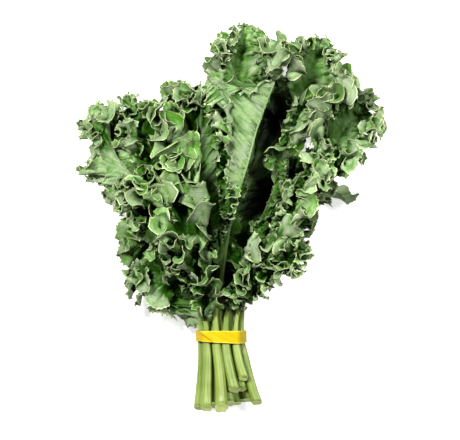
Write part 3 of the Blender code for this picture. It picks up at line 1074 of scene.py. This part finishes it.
def rubber_band():
    """A hoop with thick edges. At its left front a flap is folded over, with a crease, and shade is painted
    along the crease and beside it.
    """
    place, outward = band_outline()
    count = len(place)
    x, z = place.T
    front = smooth(z / 12.0)
    half_width = BAND_WIDTH / 2 + front * np.interp(x, [-22, -8, 18], [-0.9, 0.0, 0.6])
    drop = front * np.interp(x, [-22, 0, 22], [0.4, 0.0, -0.7])
    across = np.linspace(-1.0, 1.0, 17)
    y = drop[:, None] + half_width[:, None] * across
    edge = np.exp(-(((1.0 - np.abs(across)) / 0.13) ** 2))
    crease = x[:, None] + 20.5 + 1.2 * (y - 5.0)
    flap = smooth(crease + 1.0) * smooth((26.0 - np.abs(crease) * 2.2) / 26.0) * front[:, None]
    # Painted shade: darkest along the crease, and lighter beside it.
    under = smooth(1.0 - crease) * (0.35 + 0.65 * np.exp(-((crease / 1.4) ** 2))) * front[:, None]
    thickness = BAND_THICKNESS + BAND_EDGE * edge + flap
    thickness = thickness + 0.08 * np.sin(x[:, None] / 2.3 + y) * front[:, None]
    outer_x, outer_z = x[:, None] + outward[:, :1] * thickness, z[:, None] + outward[:, 1:] * thickness
    outer = np.stack([outer_x, y, outer_z], axis=2)
    inner = np.stack([x[:, None] + 0 * y, y, z[:, None] + 0 * y], axis=2)
    outer[:, 0, 1] += BAND_ROUNDING
    outer[:, -1, 1] -= BAND_ROUNDING
    loop = np.concatenate([outer, inner[:, ::-1]], axis=1)
    quads = grid_quads(count, loop.shape[1], closed=True)
    quads = np.concatenate([quads, joining(count, loop.shape[1])])
    under = np.concatenate([under, 0.0 * under], axis=1).ravel()
    numbers = {"under": under, "edge": np.tile(edge, (count, 2)).ravel()}
    piece = make_mesh("rubber_band_yellow", loop.reshape(-1, 3), quads, np.zeros(len(quads)), numbers)
    piece.data.materials.append(LOOKS["band"])
    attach(piece, "root")
    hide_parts("rubber_band")


def joining(count, columns):
    """The quads between the last row and the first of a hoop."""
    last = (count - 1) * columns + np.arange(columns)
    first = np.arange(columns)
    return np.stack([last, np.roll(last, -1), np.roll(first, -1), first], axis=1)


# ---------------------------------------------------------------- materials


class Nodes:
    """Adds nodes to a material or the world. Into them go values, colours and other nodes' outputs."""

    def __init__(self, tree):
        self.tree = tree

    def feed(self, made, inputs):
        for name, value in inputs.items():
            socket = made.inputs[name]
            if isinstance(value, bpy.types.NodeSocket):
                self.tree.links.new(value, socket)
            else:
                socket.default_value = (*value, 1.0) if socket.type == "RGBA" else value

    def add(self, kind, inputs, **settings):
        made = self.tree.nodes.new("ShaderNode" + kind)
        for key, value in settings.items():
            setattr(made, key, value)
        self.feed(made, inputs)
        return made.outputs

    def number(self, label):
        return self.add("Attribute", {}, attribute_name=label)["Fac"]

    def place(self):
        return self.add("TexCoord", {})["Object"]

    def pattern(self):
        return self.add("UVMap", {}, uv_map="pattern")["UV"]

    def maths(self, operation, *values, clamp=False):
        return self.add("Math", dict(enumerate(values)), operation=operation, use_clamp=clamp)[0]

    def times(self, a, b):
        return self.maths("MULTIPLY", a, b)

    def plus(self, a, b):
        return self.maths("ADD", a, b)

    def mixed(self, factor, a, b):
        made = self.tree.nodes.new("ShaderNodeMix")
        made.data_type = "RGBA"
        self.feed(made, {"Factor": factor, "A": a, "B": b})
        return made.outputs["Result"]

    def ramp(self, value, *stops):
        made = self.tree.nodes.new("ShaderNodeValToRGB")
        self.feed(made, {"Fac": value})
        for element, (position, grey) in zip(made.color_ramp.elements, stops):
            element.position = position
            element.color = (grey, grey, grey, 1.0)
        return made.outputs["Color"]

    def noise(self, place, scale, detail=3.0, roughness=0.55):
        inputs = {"Vector": place, "Scale": scale, "Detail": detail, "Roughness": roughness}
        return self.add("TexNoise", inputs)["Fac"]

    def bump(self, shader, height, distance, strength=0.5):
        inputs = {"Height": height, "Distance": distance, "Strength": strength}
        self.feed(shader, {"Normal": self.add("Bump", inputs)["Normal"]})


def material(name):
    made = bpy.data.materials.new(name)
    made.use_nodes = True
    return made, Nodes(made.node_tree), made.node_tree.nodes["Principled BSDF"]


def lines(nodes, way, out, every, width, wobble):
    """Veins across the blade, one for each length of midrib, as narrow at the margin as at the midrib."""
    turned = nodes.plus(nodes.maths("MULTIPLY_ADD", way, 1.0 / every, 0.5), wobble)
    off = nodes.maths("ABSOLUTE", nodes.maths("SUBTRACT", nodes.maths("FRACT", turned), 0.5))
    spread = nodes.plus(nodes.times(nodes.maths("POWER", out, 2.0), 5.0), 1.0)
    return nodes.ramp(nodes.times(off, spread), (0.0, 1.0), (width, 0.0))


def leaf_veins(nodes, out):
    """Main veins, and finer ones between them towards the margin."""
    pattern = nodes.pattern()
    way = nodes.add("SeparateXYZ", {"Vector": pattern})["Y"]
    wobble = nodes.times(nodes.noise(pattern, 12.0), 1.6)
    main_veins = lines(nodes, way, out, 0.085, 0.10, wobble)
    fine_veins = lines(nodes, way, out, 0.021, 0.22, nodes.times(wobble, 2.5))
    fine_veins = nodes.times(fine_veins, nodes.ramp(out, (0.3, 0.0), (0.6, 0.8)))
    return nodes.maths("MAXIMUM", main_veins, fine_veins)


def leaf_greens(nodes, mottle, painted_lightness, plain, light, bloom_and_sheen):
    """The plain green, with patches of the light one, which vary at random and are painted light, shown only
    where light falls and most on ridges, and patches of the pale waxy coat, partly its own colour and partly
    a painted sheen, only where light falls.
    """
    place = nodes.place()
    lit = nodes.ramp(painted_lightness, (0.15, 0.0), (0.8, 1.0))
    amount = nodes.plus(nodes.times(nodes.noise(place, 30.0), 1.3), nodes.times(nodes.number("tone"), 0.35))
    amount = nodes.plus(amount, nodes.times(mottle, 1.9))
    # Painted light: more of the light green on ridges, which stand out of their surroundings.
    amount = nodes.plus(amount, nodes.times(nodes.number("relief"), 0.9))
    amount = nodes.maths("SUBTRACT", amount, 1.5, clamp=True)
    colour = nodes.mixed(nodes.times(amount, lit), plain, light)
    # Painted sheen: patches of the waxy bloom's grey green, only where light falls.
    cloud = nodes.ramp(nodes.noise(place, 55.0, 2.0), (0.45, 0.0), (0.65, 0.7))
    return nodes.mixed(nodes.times(cloud, lit), colour, bloom_and_sheen)


def leaf_look(name, deep, plain, light, bloom_and_sheen, vein, rim, roughness):
    """One side of a blade, with pale veins and a pale rim: painted shade far inside the bunch, in folds and
    hollows, and near black in the openings, and painted light outside it.
    """
    made, nodes, shader = material(name)
    place, out, light_there = nodes.place(), nodes.number("out"), nodes.number("open")
    # How much light is painted on each place: the light worked out for it, less in the hollows of the sheet,
    # where shade is painted.
    painted_lightness = nodes.ramp(light_there, (0.0, 0.0), (0.66, 1.0))
    painted_lightness = nodes.times(painted_lightness, nodes.ramp(nodes.number("relief"), (0.0, 0.6), (0.5, 1.0)))
    mottle = nodes.noise(place, 240.0, 4.0, 0.65)
    colour = leaf_greens(nodes, mottle, painted_lightness, plain, light, bloom_and_sheen)
    veins = leaf_veins(nodes, out)
    colour = nodes.mixed(nodes.times(veins, 0.18), colour, vein)
    rib = nodes.ramp(nodes.number("rib"), (0.25, 0.0), (0.8, 1.0))
    colour = nodes.mixed(nodes.times(rib, 0.5), colour, vein)
    patchy = nodes.ramp(nodes.noise(place, 260.0, 2.0), (0.3, 0.35), (0.6, 1.0))
    colour = nodes.mixed(nodes.times(nodes.number("rim"), patchy), colour, rim)
    # Painted shade: towards a dark green far inside the bunch and in folds.
    colour = nodes.mixed(painted_lightness, deep, colour)
    # Painted shade: near black on the leaves in the openings.
    outside_openings = nodes.ramp(nodes.plus(light_there, 1.0), (0.2, 0.0), (1.0, 1.0))
    colour = nodes.mixed(outside_openings, (0.0005, 0.001, 0.0), colour)
    nodes.feed(shader, {"Base Color": colour, "Roughness": roughness})
    nodes.feed(shader, {"Specular IOR Level": 0.2, "Specular Tint": (0.75, 1.0, 0.65)})
    nodes.bump(shader, nodes.maths("SUBTRACT", mottle, nodes.times(veins, 0.7)), 0.0015, 0.7)
    return made


def stalk_look():
    made, nodes, shader = material("stalk")
    drawn_out = nodes.add("Mapping", {"Vector": nodes.pattern(), "Scale": (22.0, 1.2, 1.0)})["Vector"]
    streaks = nodes.noise(drawn_out, 1.0, 4.0)
    amount = nodes.plus(streaks, nodes.times(nodes.number("tone"), 0.12))
    amount = nodes.plus(amount, nodes.times(nodes.noise(nodes.place(), 45.0), 0.5))
    amount = nodes.ramp(nodes.maths("SUBTRACT", amount, 0.25), (0.3, 0.0), (0.7, 1.0))
    colour = nodes.mixed(amount, (0.075, 0.135, 0.006), (0.225, 0.29, 0.066))
    into_leaf = nodes.ramp(nodes.number("along"), (0.2, 0.0), (0.5, 1.0))
    colour = nodes.mixed(into_leaf, colour, (0.10, 0.19, 0.05))
    # Painted shade: the stalks are darker far inside the bunch.
    painted_lightness = nodes.ramp(nodes.number("open"), (0.0, 0.0), (0.8, 1.0))
    colour = nodes.mixed(painted_lightness, (0.012, 0.028, 0.003), colour)
    nodes.feed(shader, {"Base Color": colour, "Roughness": 0.36})
    nodes.bump(shader, streaks, 0.0012, 0.6)
    return made


def cut_look():
    made, nodes, shader = material("cut_end")
    grain = nodes.noise(nodes.place(), 600.0)
    colour = nodes.mixed(grain, (0.42, 0.58, 0.09), (0.72, 0.80, 0.30))
    nodes.feed(shader, {"Base Color": colour, "Roughness": 0.55})
    nodes.bump(shader, grain, 0.0005)
    return made


def band_look():
    made, nodes, shader = material("band")
    place = nodes.place()
    colour = nodes.mixed(nodes.noise(place, 120.0), (0.35, 0.25, 0.0), (0.45, 0.34, 0.003))
    # Painted highlight: paler yellow along the band's thick edges.
    colour = nodes.mixed(nodes.times(nodes.number("edge"), 0.6), colour, (0.80, 0.64, 0.06))
    # Painted shade by the folded flap's crease.
    colour = nodes.mixed(nodes.times(nodes.number("under"), 0.75), colour, (0.36, 0.19, 0.0))
    nodes.feed(shader, {"Base Color": colour, "Roughness": 0.5})
    nodes.feed(shader, {"Specular IOR Level": 0.25, "Specular Tint": (1.0, 0.9, 0.3)})
    nodes.feed(shader, {"Subsurface Weight": 0.15, "Subsurface Radius": (0.003, 0.002, 0.0005)})
    nodes.bump(shader, nodes.noise(place, 900.0), 0.0002, 0.3)
    return made


# For each side of a blade, the first colour is the painted shade far inside the bunch and in folds. The
# light green and the waxy bloom are painted in only where light falls, as painted light and a painted sheen.
# The veins and the rim are the leaf's own colours.
LOOKS = {
    "leaf_upper": leaf_look(
        "leaf_upper",
        deep=(0.006, 0.036, 0.0003),
        plain=(0.065, 0.198, 0.010),
        light=(0.232, 0.308, 0.165),
        bloom_and_sheen=(0.150, 0.225, 0.118),
        vein=(0.26, 0.38, 0.15),
        rim=(0.78, 0.88, 0.46),
        roughness=0.38,
    ),
    "leaf_under": leaf_look(
        "leaf_under",
        deep=(0.007, 0.040, 0.0005),
        plain=(0.092, 0.184, 0.042),
        light=(0.190, 0.238, 0.142),
        bloom_and_sheen=(0.180, 0.228, 0.148),
        vein=(0.34, 0.44, 0.24),
        rim=(0.78, 0.90, 0.54),
        roughness=0.5,
    ),
    "stalk": stalk_look(),
    "cut_end": cut_look(),
    "band": band_look(),
}


# ---------------------------------------------------------------- the stage


def seen_and_lighting(nodes, seen, lighting):
    """A strength for what the camera sees, and another for the light that it gives the bunch."""
    camera_ray = nodes.add("LightPath", {})["Is Camera Ray"]
    return nodes.add("MapRange", {"Value": camera_ray, "To Min": lighting, "To Max": seen})["Result"]


def pale_floor():
    mesh = bpy.data.meshes.new("floor")
    half = 2.5
    corners = [(-half, -half, 0), (half, -half, 0), (half, half, 0), (-half, half, 0)]
    mesh.from_pydata(corners, [], [(0, 1, 2, 3)])
    floor = added("floor", mesh)
    made, nodes, shader = material("floor")
    nodes.feed(shader, {"Base Color": (0.7, 0.7, 0.7), "Roughness": 0.9, "Emission Color": (1.0, 1.0, 1.0)})
    nodes.feed(shader, {"Emission Strength": seen_and_lighting(nodes, 0.72, 0.14)})
    mesh.materials.append(made)


def soft_light():
    world = bpy.data.worlds.new("studio")
    world.use_nodes = True
    nodes = Nodes(world.node_tree)
    strength = seen_and_lighting(nodes, 0.95, 0.08)
    nodes.feed(world.node_tree.nodes["Background"], {"Color": (1.0, 1.0, 1.0), "Strength": strength})
    bpy.context.scene.world = world
    middle = Vector((0.0, 0.0, 0.04))
    for name, place, size, power in (
        ("key", (-0.52, 0.60, 1.30), 0.28, 51.0),
        ("second", (0.60, 0.30, 1.35), 0.35, 18.0),
    ):
        light = bpy.data.lights.new(name, "AREA")
        light.color = (1.0, 1.0, 0.94)
        light.size = size
        light.energy = power
        lamp = added(name, light)
        lamp.location = place
        lamp.rotation_euler = (middle - lamp.location).to_track_quat("-Z", "Y").to_euler()


def camera_above():
    """The camera looks straight down, from so far away that what is higher looks hardly larger."""
    camera = bpy.data.cameras.new("camera")
    camera.sensor_width = 36.0
    view_height, view_width, level = 1.9, 0.460, 0.07
    camera.lens = camera.sensor_width * view_height / view_width
    eye = added("camera", camera)
    eye.location = (-0.0035, -0.0025, level + view_height)
    bpy.context.scene.camera = eye
    bpy.context.scene.view_settings.view_transform = "Standard"


def main():
    blades, flats = grow_blades()
    light = Light(blades)
    rng = np.random.default_rng(SEED + 1)
    for k, leaf in enumerate(LEAVES):
        kale_leaf(leaf, blades[:, k], flats[:, k], light, rng)
    rubber_band()
    pale_floor()
    soft_light()
    camera_above()


main()
